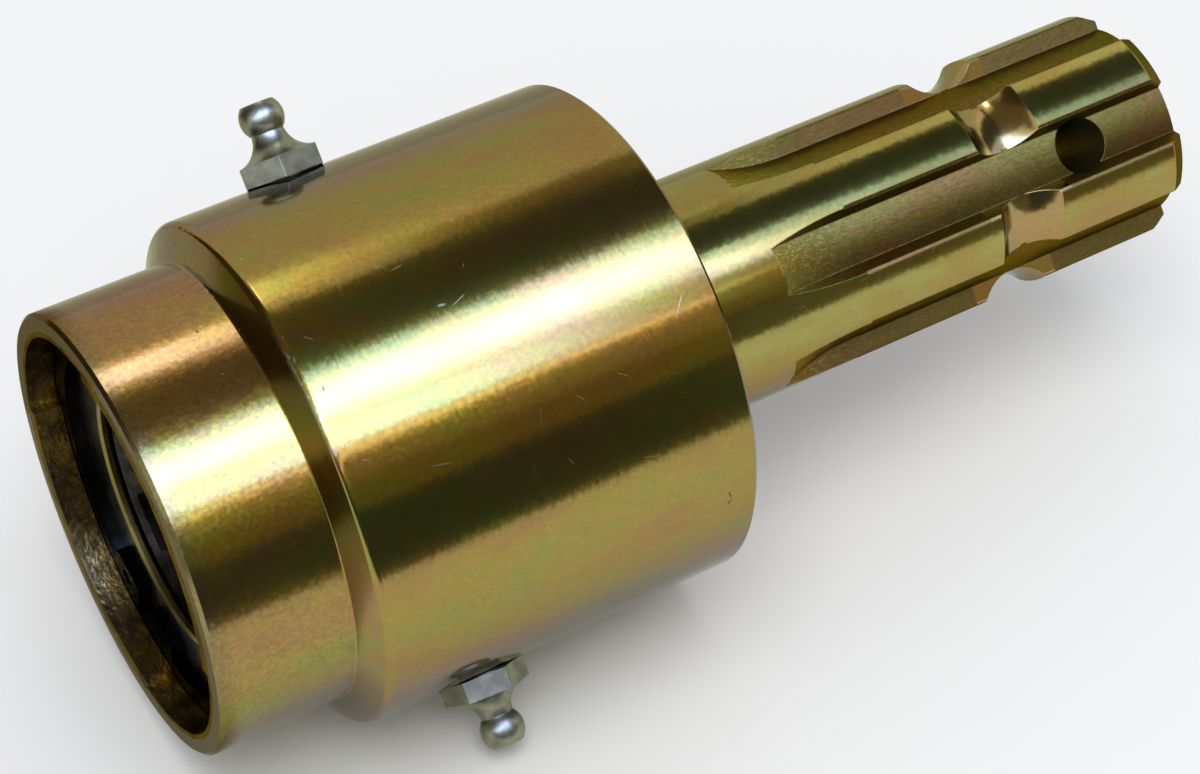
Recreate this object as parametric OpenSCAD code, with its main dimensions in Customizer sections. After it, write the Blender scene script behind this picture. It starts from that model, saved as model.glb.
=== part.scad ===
// Overrunning clutch for a splined power take-off shaft.
// The hollow casing has a collar at its mouth (x = 0) and a six-spline shaft at its far end.
// Inside, a hub with a splined socket turns freely one way; the other way two sprung keys
// stand out of its slots and push on the steps of the casing's two long recesses.
// +X runs along the axis from the mouth to the shaft's tip. The part lies on its side,
// so the middle of its recesses is rolled by lie_angle from +Y towards +Z.

/* [Casing] */
// Outside diameter of the housing
housing_d = 72.6; // [71:0.1:80]
// Outside diameter of the collar at the mouth
collar_d = 63; // [62:0.1:66]
// Length of the collar, from the mouth to the foot of the shoulder
collar_len = 19.3; // [15:0.1:28]
// Length of the whole casing
casing_len = 77.7; // [72:0.1:90]
// Angle by which the shoulder's face leans back from square
shoulder_lean = 26; // [10:1:40]
// Radius between the collar and the shoulder
shoulder_fillet = 0.4; // [0.2:0.1:0.8]
// Rounding of the shoulder's outer corner
shoulder_round = 1.2; // [0.6:0.1:2]
// Chamfer on the outer corners of the casing
edge_break = 0.5; // [0.2:0.1:1]
// Angle by which the recesses are rolled when the part lies down
lie_angle = 41.4; // [30:0.1:50]

/* [Ratchet bore] */
// Diameter of the bore across its two lands
land_d = 54; // [53:0.1:55]
// Depth of each recess below the lands
recess_depth = 1.3; // [1.1:0.1:1.7]
// Angle that each recess covers
recess_angle = 86; // [70:1:96]

/* [Retaining ring] */
// Distance from the mouth to the ring groove
ring_pos = 4; // [3:0.1:6]
// Thickness of the retaining ring
ring_t = 2; // [1.5:0.1:2.5]
// Depth of the ring groove below the lands
groove_depth = 1.6; // [1.5:0.05:2]
// Radial width of the ring opposite its gap
ring_wide = 4.6; // [4:0.1:5.4]
// Radial width of the ring beside its lugs
ring_narrow = 3; // [2.6:0.1:3.6]
// Width of the gap between the two lugs
lug_gap = 3.2; // [2:0.1:5]
// Width of each lug
lug_w = 7.4; // [6:0.1:8.5]
// Radius that the lugs reach in to
lug_reach_r = 20.6; // [19.6:0.1:22]
// Diameter of the plier holes in the lugs
lug_hole_d = 2.5; // [2:0.1:3]
// Angle of the gap, from the middle of the first recess
lug_gap_angle = 243; // [236:1:300]

/* [Thrust washers] */
// Thickness of the washer at each end of the hub
washer_t = 1.5; // [1:0.1:2.5]
// Bore of the washers, which the driving shaft passes through
washer_bore_d = 37; // [36:0.1:39]

/* [Spline] */
// Outside diameter of the splined shaft
spline_d = 34.8; // [34:0.05:35]
// Diameter across the floors of the flutes
root_d = 29.4; // [29:0.05:30]
// Width of each spline tooth
tooth_w = 8.4; // [8:0.05:8.7]
// Clearance all round in the hub's socket
socket_clear = 0.1; // [0.05:0.01:0.2]

/* [Hub and keys] */
// Running clearance between the hub and the lands
hub_clear = 0.08; // [0.05:0.01:0.1]
// End play between the hub and each washer
end_play = 0.2; // [0.1:0.05:0.4]
// Width of each key
key_w = 10; // [8:0.1:11]
// Height of each key
key_h = 6.2; // [5.8:0.1:6.6]
// Sideways clearance of a key in its slot
key_clear = 0.06; // [0.04:0.01:0.1]
// Width of the bevelled overrun face
bevel_w = 4; // [3:0.1:5]
// Drop of the bevelled overrun face
bevel_drop = 2.6; // [2:0.1:3]
// Number of springs under each key
springs_per_key = 3; // [3:1:3]
// Outside diameter of a key spring
key_spring_d = 5; // [4.4:0.1:5.6]
// Wire of a key spring
key_wire = 0.7; // [0.5:0.05:0.9]
// Depth of the spring pocket in the key
key_pocket = 3.6; // [3:0.1:4]
// Depth of the spring seat below the slot
hub_pocket = 1.2; // [0.8:0.1:1.6]

/* [Output shaft] */
// Length of the shaft outside the casing
shaft_len = 87.8; // [80:0.1:110]
// Plain length between the casing and the flutes
plain_len = 18.6; // [12:0.1:24]
// Diameter of the cutter that leaves the flutes' run-out
cutter_d = 63; // [50:1:80]
// Radius of the locking groove
lock_groove_r = 6.8; // [6:0.1:7.5]
// Distance from the shaft's tip to the middle of the locking groove
lock_groove_pos = 28; // [26.5:0.1:34]
// Diameter of the cross hole for a locking pin
lock_hole_d = 8.3; // [7.6:0.1:8.8]
// Distance from the shaft's tip to the cross hole
lock_hole_pos = 16; // [13:0.1:16.8]
// Angle from the middle of the first recess to the flute that holds the cross hole
lock_hole_angle = 95; // [80:1:110]
// Length of the chamfer at the shaft's tip
tip_chamfer_len = 2.4; // [1:0.1:3]
// Depth of the chamfer at the shaft's tip
tip_chamfer_depth = 1.4; // [0.6:0.1:2]
// Small chamfer along the corners of the teeth
tooth_break = 0.35; // [0.2:0.05:0.5]
// Radius at the root of the shaft
root_fillet = 3; // [1.5:0.1:5]
// Thickness of the flange that closes the casing
flange_t = 10.9; // [8:0.1:13]
// Diameter of the flange
flange_d = 60.4; // [58.6:0.1:62]
// Diameter of the centre hole's cone in the shaft's tip
centre_d = 8; // [6:0.1:10]
// Diameter of the centre hole's pilot
pilot_d = 3.2; // [2.5:0.1:4]
// Depth of the centre hole's pilot
pilot_depth = 7; // [6:0.1:9]

/* [Grease nipples] */
// Distance from the mouth to the nipples
nipple_pos = 40; // [34:0.1:50]
// Angle of the nipples from the middle of the recesses
nipple_turn = 3.8; // [-8:0.1:8]
// Width of the hexagon across its flats
hex_af = 10.8; // [10.4:0.1:12]
// Height of the hexagon
hex_h = 3; // [2.5:0.1:4]
// Turn of the hexagon about the nipple's own axis
hex_turn = 15; // [0:1:60]
// Height of the nipple above the casing
nipple_h = 10.8; // [10.2:0.1:12]
// Diameter of the neck
neck_d = 4.6; // [4.4:0.1:5.2]
// Diameter of the ball-shaped head
head_d = 6.3; // [6:0.1:6.8]
// Distance from the nipple's top to the middle of its head
head_drop = 2.1; // [1.8:0.1:2.4]
// Distance from the nipple's top to the end of its neck
neck_drop = 4; // [3.8:0.1:4.4]
// Diameter of the threaded shank
shank_d = 10; // [9.6:0.1:10.2]
// Distance that the threaded shank stops short of the recess
shank_back = 1.6; // [1:0.1:2.4]
// Diameter of the grease passage
passage_d = 2.9; // [2.8:0.05:3.1]
// Diameter of the check ball
check_ball_d = 2.6; // [2.5:0.05:2.65]
// Diameter of the opening that the check ball closes
inlet_d = 1.8; // [1.6:0.05:2]
// Gap between the check ball's spring and its passage
check_spring_gap = 0.25; // [0.15:0.05:0.3]
// Wire of the check ball's spring
check_wire = 0.3; // [0.25:0.05:0.4]

/* [Hidden] */
$fn = 96;

// Colours of the finishes
yellow_zinc = "#b79d57";
dark_steel = "#4a4a46";
black_oxide = "#26282b";
spring_steel = "#8a8c8e";
zinc_steel = "#9a9c9b";

// Radii of the diameters above
housing_r = housing_d / 2;
collar_r = collar_d / 2;
land_r = land_d / 2;
recess_r = land_r + recess_depth;
groove_r = land_r + groove_depth;
spline_r = spline_d / 2;
root_r = root_d / 2;
flange_r = flange_d / 2;

// Fits between pieces of one body
seat_fit = 0.02;
ring_fit = 0.05;
ring_side_play = 0.1;
washer_fit = 0.2;

// Shoulder: a leaning face between a small fillet and a rounded corner
shoulder_centre_r = housing_r - shoulder_round;
shoulder_tangent_r = shoulder_centre_r + shoulder_round * sin(shoulder_lean);
shoulder_tangent_z = collar_len + (shoulder_tangent_r - collar_r) * tan(shoulder_lean);
shoulder_centre_z = shoulder_tangent_z + shoulder_round * cos(shoulder_lean);
fillet_reach = shoulder_fillet * (1 - sin(shoulder_lean)) / cos(shoulder_lean);
fillet_end_r = collar_r + fillet_reach * cos(shoulder_lean);
fillet_end_z = collar_len + fillet_reach * sin(shoulder_lean);
fillet_centre_z = fillet_end_z - shoulder_fillet * cos(shoulder_lean);

// Places along the axis
ring_groove_w = ring_t + ring_side_play;
front_washer_z = ring_pos + ring_groove_w;
hub_front_z = front_washer_z + washer_t + end_play;
seat_z = casing_len - flange_t;
rear_washer_z = seat_z - washer_t;
hub_rear_z = rear_washer_z - end_play;
hub_len = hub_rear_z - hub_front_z;
tip_z = casing_len + shaft_len;
lock_groove_z = tip_z - lock_groove_pos;
lock_hole_z = tip_z - lock_hole_pos;

// Cuts run this far past the faces that they open
over = 1;

// Centre hole: a 60 degree cone above its pilot
centre_cone_h = (centre_d - pilot_d) / 2 / tan(30);

// Flutes: the cutter sinks to full depth over the run-out
teeth = 6;
tooth_pitch = 360 / teeth;
cutter_r = cutter_d / 2;
flute_depth = spline_r - root_r;
runout_len = sqrt(pow(cutter_r, 2) - pow(cutter_r - flute_depth, 2));
flute_full_z = casing_len + plain_len + runout_len;

// Keys and their slots, opposite each other in the middle of the recesses
key_angles = [0, 180];
hub_r = land_r - hub_clear;
key_top_r = land_r - washer_fit;
key_bottom_r = key_top_r - key_h;
slot_floor_gap = 0.6;
slot_floor_r = key_bottom_r - slot_floor_gap;
spring_play = 0.3;
pocket_d = key_spring_d + 2 * spring_play;
key_len = hub_len - end_play;
socket_r = spline_r + socket_clear;
socket_chamfer = 0.8;
hub_chamfer = 0.8;

// Key springs run from their seat in the hub to the floor of the key's pocket
coil_gap = 0.08;
key_spring_from = slot_floor_r - hub_pocket + coil_gap;
key_spring_to = key_bottom_r + key_pocket - coil_gap;
key_spring_turns = 4;
key_spring_pitch = key_len / springs_per_key;

// Grease nipple, measured from the casing's surface outwards
shank_len = housing_r - recess_r - shank_back;
hex_corner_r = hex_af / 2 / cos(30);
neck_r = neck_d / 2;
neck_h = nipple_h - neck_drop;
head_h = nipple_h - head_drop;
flare_r = neck_h - hex_h;
inlet_depth = 0.9;
ball_r = check_ball_d / 2;
inlet_r = inlet_d / 2;
ball_seat_gap = 0.05;
ball_h = nipple_h - inlet_depth - sqrt(pow(ball_r, 2) - pow(inlet_r, 2)) - ball_seat_gap;
lip_t = 0.8;
check_spring_d = passage_d - 2 * check_spring_gap;
check_spring_turns = 9;
check_spring_from = lip_t - shank_len + coil_gap;
check_coil_r = (check_spring_d - check_wire) / 2;
check_touch_r = ball_r + check_wire / 2 + coil_gap;
check_spring_to = ball_h - sqrt(pow(check_touch_r, 2) - pow(check_coil_r, 2)) + check_wire / 2;

// Lays a piece that is drawn along Z onto the X axis and rolls it
module laid() {
    rotate([lie_angle, 0, 0]) rotate([90, 0, 90]) children();
}

// Small square that cuts a 45 degree chamfer off a corner of a profile
module corner_cut(r, z, size) {
    translate([r, z]) rotate(45) square(size * sqrt(2), center = true);
}

// Points of one ring of a coiled wire, and the coil itself as a swept tube
function wire_ring(a, z, coil_r, wire_r, sides) = [
    for (i = [0 : sides - 1])
        let (b = 360 * i / sides, r = coil_r + wire_r * cos(b))
        [r * cos(a), r * sin(a), z + wire_r * sin(b)]
];

module coil_spring(outer_d, wire_d, turns, from_z, to_z) {
    steps_per_turn = 12;
    sides = 6;
    steps = turns * steps_per_turn;
    wire_r = wire_d / 2;
    coil_r = outer_d / 2 - wire_r;
    rise = to_z - from_z - wire_d;
    points = [
        for (i = [0 : steps])
            each wire_ring(360 * i / steps_per_turn, from_z + wire_r + rise * i / steps,
                coil_r, wire_r, sides)
    ];
    first = [for (j = [0 : sides - 1]) j];
    last = [for (j = [sides - 1 : -1 : 0]) steps * sides + j];
    walls = [
        for (i = [0 : steps - 1], j = [0 : sides - 1])
            let (k = (j + 1) % sides)
            each [
                [i * sides + j, (i + 1) * sides + j, (i + 1) * sides + k],
                [i * sides + j, (i + 1) * sides + k, i * sides + k]
            ]
    ];
    polyhedron(points, concat([first], [last], walls), convexity = 10);
}

// Casing: a turned blank, broached right through and counterbored for the flange
module casing_profile() {
    difference() {
        union() {
            polygon([
                [0, 0],
                [collar_r, 0],
                [collar_r, collar_len],
                [shoulder_tangent_r, shoulder_tangent_z],
                [shoulder_centre_r, shoulder_centre_z],
                [housing_r, shoulder_centre_z],
                [housing_r, casing_len],
                [0, casing_len]
            ]);
            translate([shoulder_centre_r, shoulder_centre_z]) circle(shoulder_round);
            difference() {
                polygon([
                    [collar_r, collar_len],
                    [collar_r, fillet_centre_z],
                    [collar_r + shoulder_fillet, fillet_centre_z],
                    [fillet_end_r, fillet_end_z]
                ]);
                translate([collar_r + shoulder_fillet, fillet_centre_z]) circle(shoulder_fillet);
            }
        }
        corner_cut(collar_r, 0, edge_break);
        corner_cut(housing_r, casing_len, edge_break);
    }
}

module ratchet_section() {
    reach = 2 * recess_r;
    circle(land_r);
    intersection() {
        circle(recess_r);
        for (a = key_angles)
            rotate(a) polygon([
                [0, 0],
                [reach, -reach * tan(recess_angle / 2)],
                [reach, reach * tan(recess_angle / 2)]
            ]);
    }
}

module casing() {
    color(yellow_zinc) laid() difference() {
        rotate_extrude() casing_profile();
        translate([0, 0, -over]) linear_extrude(casing_len + 2 * over) ratchet_section();
        translate([0, 0, ring_pos]) cylinder(r = groove_r, h = ring_groove_w);
        translate([0, 0, seat_z]) cylinder(r = flange_r + seat_fit, h = flange_t + over);
        rotate(nipple_turn) translate([0, 0, nipple_pos]) rotate([0, 90, 0])
            cylinder(d = shank_d + 2 * seat_fit, h = housing_d + 2 * over, center = true);
    }
}

// Output shaft: one turned piece with its flange, milled with six flutes
module shaft_profile() {
    difference() {
        union() {
            translate([0, seat_z]) square([flange_r, flange_t]);
            translate([0, casing_len]) square([spline_r, shaft_len]);
            difference() {
                translate([spline_r, casing_len]) square(root_fillet);
                translate([spline_r + root_fillet, casing_len + root_fillet])
                    circle(root_fillet);
            }
        }
        corner_cut(flange_r, casing_len, edge_break);
        corner_cut(flange_r, seat_z, edge_break);
        polygon([
            [spline_r - tip_chamfer_depth, tip_z],
            [spline_r, tip_z - tip_chamfer_len],
            [spline_r + over, tip_z - tip_chamfer_len],
            [spline_r + over, tip_z + over],
            [spline_r - tip_chamfer_depth, tip_z + over]
        ]);
    }
}

// Space between two teeth: a round floor and two straight flanks
module flute_section() {
    difference() {
        translate([0, -spline_r / 2]) square([spline_r + over, spline_r]);
        circle(root_r);
        for (side = [-1, 1])
            rotate(side * tooth_pitch / 2) translate([0, -tooth_w / 2])
                square([2 * spline_r, tooth_w]);
    }
}

module flute_corner_breaks() {
    corner_r = sqrt(pow(spline_r, 2) - pow(tooth_w / 2, 2));
    for (side = [-1, 1])
        rotate(side * tooth_pitch / 2) corner_cut(corner_r, -side * tooth_w / 2, tooth_break);
}

module flute_cut() {
    axis_x = root_r + cutter_r;
    translate([0, 0, flute_full_z]) linear_extrude(tip_z - flute_full_z + over) {
        flute_section();
        flute_corner_breaks();
    }
    intersection() {
        translate([axis_x, 0, flute_full_z]) rotate([90, 0, 0]) rotate_extrude($fn = 180)
            translate([axis_x, 0]) mirror([1, 0]) flute_section();
        translate([0, -spline_r, flute_full_z - cutter_r])
            cube([spline_d, spline_d, cutter_r + over]);
    }
}

module output_shaft() {
    color(yellow_zinc) laid() difference() {
        rotate_extrude() shaft_profile();
        for (i = [0 : teeth - 1]) rotate(lock_hole_angle + i * tooth_pitch) flute_cut();
        rotate_extrude() translate([root_r + lock_groove_r, lock_groove_z])
            circle(lock_groove_r);
        rotate(lock_hole_angle) translate([0, 0, lock_hole_z]) rotate([0, 90, 0])
            cylinder(d = lock_hole_d, h = spline_d + 2 * over, center = true);
        translate([0, 0, tip_z - centre_cone_h])
            cylinder(d1 = pilot_d, d2 = centre_d, h = centre_cone_h);
        translate([0, 0, tip_z - pilot_depth]) cylinder(d = pilot_d, h = pilot_depth);
    }
}

// Hub: splined socket right through it and a slot for each key
module socket_section() {
    circle(root_r + socket_clear);
    intersection() {
        circle(socket_r);
        for (i = [0 : teeth - 1])
            rotate((i + 0.5) * tooth_pitch) translate([0, -tooth_w / 2 - socket_clear])
                square([2 * spline_r, tooth_w + 2 * socket_clear]);
    }
}

module socket_mouth() {
    cylinder(r1 = socket_r + socket_chamfer, r2 = socket_r - flute_depth,
        h = socket_chamfer + flute_depth);
}

module key_places() {
    for (i = [0 : springs_per_key - 1])
        translate([0, 0, hub_front_z + (hub_len - key_len) / 2 + (i + 0.5) * key_spring_pitch])
            rotate([0, 90, 0]) children();
}

module hub() {
    color(dark_steel) laid() difference() {
        rotate_extrude() difference() {
            translate([0, hub_front_z]) square([hub_r, hub_len]);
            corner_cut(hub_r, hub_front_z, hub_chamfer);
            corner_cut(hub_r, hub_rear_z, hub_chamfer);
        }
        translate([0, 0, hub_front_z - over]) linear_extrude(hub_len + 2 * over)
            socket_section();
        translate([0, 0, hub_front_z]) socket_mouth();
        for (a = key_angles) rotate(a) {
            translate([slot_floor_r, -key_w / 2 - key_clear, hub_front_z - over])
                cube([hub_r, key_w + 2 * key_clear, hub_len + 2 * over]);
            key_places() translate([0, 0, slot_floor_r - hub_pocket])
                cylinder(d = pocket_d, h = hub_r);
        }
    }
}

// Key: one flank drives, the bevelled one rides out of the recess
module key_section() {
    intersection() {
        circle(key_top_r);
        polygon([
            [key_bottom_r, -key_w / 2],
            [hub_r, -key_w / 2],
            [hub_r, key_w / 2 - bevel_w],
            [key_top_r - bevel_drop, key_w / 2],
            [key_bottom_r, key_w / 2]
        ]);
    }
}

module key(angle) {
    color(spring_steel) laid() rotate(angle) difference() {
        translate([0, 0, hub_front_z + (hub_len - key_len) / 2])
            linear_extrude(key_len) key_section();
        key_places() translate([0, 0, key_bottom_r - over])
            cylinder(d = pocket_d, h = key_pocket + over);
    }
}

module key_spring(angle, place) {
    color(spring_steel) laid() rotate(angle)
        translate([0, 0, hub_front_z + (hub_len - key_len) / 2 + (place + 0.5) * key_spring_pitch])
            rotate([0, 90, 0])
                coil_spring(key_spring_d, key_wire, key_spring_turns,
                    key_spring_from, key_spring_to);
}

// Retaining ring: narrow beside its lugs and wide opposite them
module ring_section() {
    outer_r = groove_r - ring_fit;
    inner_r = outer_r - (ring_wide + ring_narrow) / 2;
    shift = (ring_wide - ring_narrow) / 2;
    hole_r = lug_reach_r + lug_hole_d;
    lug_corner = 1;
    difference() {
        union() {
            difference() {
                circle(outer_r);
                translate([shift, 0]) circle(inner_r);
            }
            intersection() {
                circle(outer_r);
                translate([lug_reach_r, -lug_gap / 2 - lug_w])
                    square([outer_r - lug_reach_r, 2 * lug_w + lug_gap]);
            }
        }
        translate([0, -lug_gap / 2]) square([outer_r + over, lug_gap]);
        for (side = [-1, 1]) {
            translate([hole_r, side * (lug_gap + lug_w) / 2]) circle(d = lug_hole_d);
            corner_cut(lug_reach_r, side * lug_gap / 2, lug_corner);
            corner_cut(lug_reach_r, side * (lug_gap / 2 + lug_w), lug_corner);
        }
    }
}

module retaining_ring() {
    color(black_oxide) laid() translate([0, 0, ring_pos + ring_side_play]) rotate(lug_gap_angle)
        linear_extrude(ring_t) ring_section();
}

// Thrust washers close the ends of the key slots
module thrust_washer(z) {
    inner_r = washer_bore_d / 2;
    outer_r = land_r - washer_fit;
    bore_break = 0.4;
    color(dark_steel) laid() rotate_extrude() difference() {
        translate([inner_r, z]) square([outer_r - inner_r, washer_t]);
        corner_cut(inner_r, z, bore_break);
        corner_cut(inner_r, z + washer_t, bore_break);
    }
}

// Puts a nipple's pieces, drawn along Z from the casing's surface, on the nipple axis
module at_nipple(side) {
    laid() rotate(key_angles[side] + nipple_turn) translate([housing_r, 0, nipple_pos])
        rotate([0, 90, 0]) children();
}

module nipple_profile() {
    difference() {
        union() {
            translate([0, -shank_len]) square([shank_d / 2, shank_len]);
            square([neck_r, head_h]);
            intersection() {
                translate([0, head_h]) circle(d = head_d);
                square([head_d, nipple_h]);
            }
        }
        corner_cut(shank_d / 2, -shank_len, edge_break);
    }
}

// Hexagon bar that a concave flare turns down to the neck
module nipple_hexagon() {
    intersection() {
        cylinder(r = hex_corner_r, h = neck_h, $fn = 6);
        rotate_extrude() difference() {
            square([hex_corner_r, neck_h]);
            translate([neck_r + flare_r, neck_h]) circle(flare_r);
            translate([neck_r + flare_r, hex_h]) square(flare_r);
        }
    }
}

module grease_nipple(side) {
    color(zinc_steel) at_nipple(side) difference() {
        union() {
            rotate_extrude() nipple_profile();
            rotate(hex_turn) nipple_hexagon();
        }
        translate([0, 0, lip_t - shank_len])
            cylinder(d = passage_d, h = nipple_h - inlet_depth + shank_len - lip_t);
        translate([0, 0, -shank_len - over])
            cylinder(d = inlet_d, h = nipple_h + shank_len + 2 * over);
    }
}

module check_ball(side) {
    color(spring_steel) at_nipple(side) translate([0, 0, ball_h]) sphere(r = ball_r);
}

module check_spring(side) {
    color(spring_steel) at_nipple(side)
        coil_spring(check_spring_d, check_wire, check_spring_turns,
            check_spring_from, check_spring_to);
}

casing();
output_shaft();
hub();
key(key_angles[0]);  // key_1
key(key_angles[1]);  // key_2
key_spring(key_angles[0], 0);  // key_spring_1a
key_spring(key_angles[0], 1);  // key_spring_1b
key_spring(key_angles[0], 2);  // key_spring_1c
key_spring(key_angles[1], 0);  // key_spring_2a
key_spring(key_angles[1], 1);  // key_spring_2b
key_spring(key_angles[1], 2);  // key_spring_2c
retaining_ring();
thrust_washer(front_washer_z);  // front_thrust_washer
thrust_washer(rear_washer_z);  // rear_thrust_washer
grease_nipple(0);  // grease_nipple_1
grease_nipple(1);  // grease_nipple_2
check_ball(0);  // check_ball_1
check_ball(1);  // check_ball_2
check_spring(0);  // check_spring_1
check_spring(1);  // check_spring_2
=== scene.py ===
"""Studio scene of an overrunning clutch for a splined power take-off shaft.

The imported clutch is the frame. Each sub-assembly dresses its own nodes with finishes that are
worked out from real sizes in millimetres, and the studio puts the clutch on a pale floor.
"""
from __future__ import annotations

import logging
import math
from dataclasses import dataclass
from enum import Enum

import bpy
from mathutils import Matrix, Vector


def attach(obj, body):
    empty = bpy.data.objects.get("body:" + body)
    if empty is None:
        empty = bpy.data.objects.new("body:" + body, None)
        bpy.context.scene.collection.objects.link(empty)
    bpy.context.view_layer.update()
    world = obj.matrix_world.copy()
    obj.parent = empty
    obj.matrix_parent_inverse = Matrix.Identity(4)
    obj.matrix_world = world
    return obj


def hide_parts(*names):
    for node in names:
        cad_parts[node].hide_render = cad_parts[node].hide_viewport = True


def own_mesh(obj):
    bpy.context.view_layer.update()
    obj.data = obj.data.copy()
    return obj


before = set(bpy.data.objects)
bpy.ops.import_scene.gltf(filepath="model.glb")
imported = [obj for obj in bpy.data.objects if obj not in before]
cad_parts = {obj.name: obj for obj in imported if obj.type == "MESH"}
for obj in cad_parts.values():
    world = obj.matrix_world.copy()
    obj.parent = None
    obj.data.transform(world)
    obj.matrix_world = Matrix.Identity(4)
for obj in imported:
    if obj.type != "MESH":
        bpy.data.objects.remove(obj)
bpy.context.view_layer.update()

LOG = logging.getLogger("clutch")
Socket = bpy.types.NodeSocket
Tree = bpy.types.NodeTree
Triple = tuple[float, float, float]
# Where a value starts and ends, then what these two become, which is 0 and 1 if left out
Stops = tuple[float, ...]

MM = 0.001
# A noise's values swing about this one
NOISE_MIDDLE = 0.5
# Settings of a Mix node that blends colours
RGBA = {"out": 2, "data_type": "RGBA"}
# Angles about the clutch's axis run from +Y towards +Z, and a surface measures its own from +Z
UP_DEG = 90.0

# Sizes of the clutch's solids, in millimetres, from the plane of the casing's mouth
BEFORE_MOUTH = -1.0
COLLAR_LEN = 19.3
COLLAR_R = 31.5
# Rounded corner and foot fillet of the shoulder: centre along the axis, centre radius, radius
SHOULDER_ROUND = (22.4, 35.1, 1.2)
SHOULDER_FILLET = (19.05, 31.9, 0.4)
SHOULDER_TANGENT_R = 35.6
FILLET_FROM_R = 31.0
FILLET_END = (19.42, 31.74)
FILLET_SOFT = 0.005
CASING_LEN = 77.7
HOUSING_R = 36.3
BORE_R = 29.0
SPLINE_R = 17.4
FLUTES_FROM = 95.5
FLUTES_DEEP = 109.1
ROOT_R = 14.7
GROOVE_X = 137.5
GROOVE_HALF = 7.1
TOOTH_DEG = 106.4
TEETH = 6
WASHER_GOLD_EDGE_R = 18.85
NIPPLE_SEAT_SHADE_R = 36.55


class Finish(Enum):
    """How a surface was cut, which sets the direction of its marks."""

    TURNED = "turned"
    MILLED = "milled"


def linear(hex_code: str) -> tuple[float, float, float, float]:
    """Turn an sRGB hex colour into linear RGBA.

    Args:
        hex_code: Six hex digits, with or without a leading hash.

    Returns:
        Linear red, green and blue, with an alpha of 1.
    """
    digits = hex_code.lstrip("#")
    parts = [int(digits[i:i + 2], 16) / 255 for i in (0, 2, 4)]
    red, green, blue = (p / 12.92 if p <= 0.04045 else ((p + 0.055) / 1.055) ** 2.4 for p in parts)
    return red, green, blue, 1.0


def add(tree: Tree, kind: str, inputs: dict | tuple = (), out: int | str = 0,
        **settings: object) -> Socket | None:
    """Add one shader node with its settings, values and links.

    Args:
        tree: The node tree.
        kind: The node's type name without its leading "ShaderNode".
        inputs: Values, or the sockets that feed them, in the order of the node's inputs or by
            their names or indices. A MapRange takes a value and its stops.
        out: Name or index of the output that is wanted.
        **settings: Properties of the node.

    Returns:
        That output's socket, or None where the node has no output.
    """
    node = tree.nodes.new("ShaderNode" + kind)
    for name, value in settings.items():
        setattr(node, name, value)
    for key, value in inputs.items() if isinstance(inputs, dict) else enumerate(inputs):
        if isinstance(value, Socket):
            tree.links.new(value, node.inputs[key])
        else:
            node.inputs[key].default_value = value
    return node.outputs[out] if len(node.outputs) else None


def overlap(tree: Tree, *masks: Socket | float) -> Socket:
    """Mask of the place that several masks share.

    Args:
        tree: The node tree.
        *masks: The masks, and numbers that weaken the result.

    Returns:
        Their product.
    """
    result, *others = masks
    for mask in others:
        result = add(tree, "Math", (result, mask), operation="MULTIPLY")
    return result


def outside(tree: Tree, mask: Socket) -> Socket:
    """Mask of the place that another mask leaves."""
    return add(tree, "Math", (1.0, mask), operation="SUBTRACT")


def band(tree: Tree, value: Socket, low: float, high: float, soft: float) -> Socket:
    """Make a mask that is 1 between two values and falls to 0 over a soft edge.

    Args:
        tree: The node tree.
        value: The socket that is tested.
        low: Where the mask starts.
        high: Where the mask ends.
        soft: Width of the soft edge.

    Returns:
        The mask's socket.
    """
    rise = add(tree, "MapRange", (value, low - soft, low + soft))
    fall = add(tree, "MapRange", (value, high - soft, high + soft, 1.0, 0.0))
    return overlap(tree, rise, fall)


class Surface:
    """A new material, with the positions that its patterns read, in millimetres."""

    def __init__(self, name: str) -> None:
        """Create the material and its position sockets.

        Args:
            name: Name of the material.
        """
        self.material = bpy.data.materials.new(name)
        self.material.use_nodes = True
        self.tree = tree = self.material.node_tree
        tree.nodes.clear()
        place = add(tree, "TexCoord", out="Object")
        self.place = add(tree, "VectorMath", {0: place, "Scale": 1 / MM}, operation="SCALE")
        self.x, self.across, self.up = add(tree, "SeparateXYZ", (self.place,)).node.outputs
        squares = [add(tree, "Math", (side, side), operation="MULTIPLY")
                   for side in (self.across, self.up)]
        self.radius = add(tree, "Math", (add(tree, "Math", tuple(squares), operation="ADD"),),
                          operation="SQRT")
        # The seam of this angle lies underneath, where nothing shows it
        turned_up = add(tree, "Math", (self.across, -1.0), operation="MULTIPLY")
        self.angle = add(tree, "Math", (turned_up, self.up), operation="ARCTAN2")

    def unrolled(self) -> Socket:
        """Place on the unrolled outside of the housing."""
        around = add(self.tree, "Math", (self.angle, HOUSING_R), operation="MULTIPLY")
        return add(self.tree, "CombineXYZ", (self.x, around))

    def to_world(self, local: Socket) -> Socket:
        """Turn a direction of the piece into one of the world."""
        return add(self.tree, "VectorTransform", (local,), vector_type="VECTOR",
                   convert_from="OBJECT", convert_to="WORLD")

    def finish(self, shader: Socket) -> bpy.types.Material:
        """Connect the shader to the material's output.

        Args:
            shader: The shader's socket.

        Returns:
            The finished material.
        """
        add(self.tree, "OutputMaterial", {"Surface": shader})
        return self.material


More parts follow.
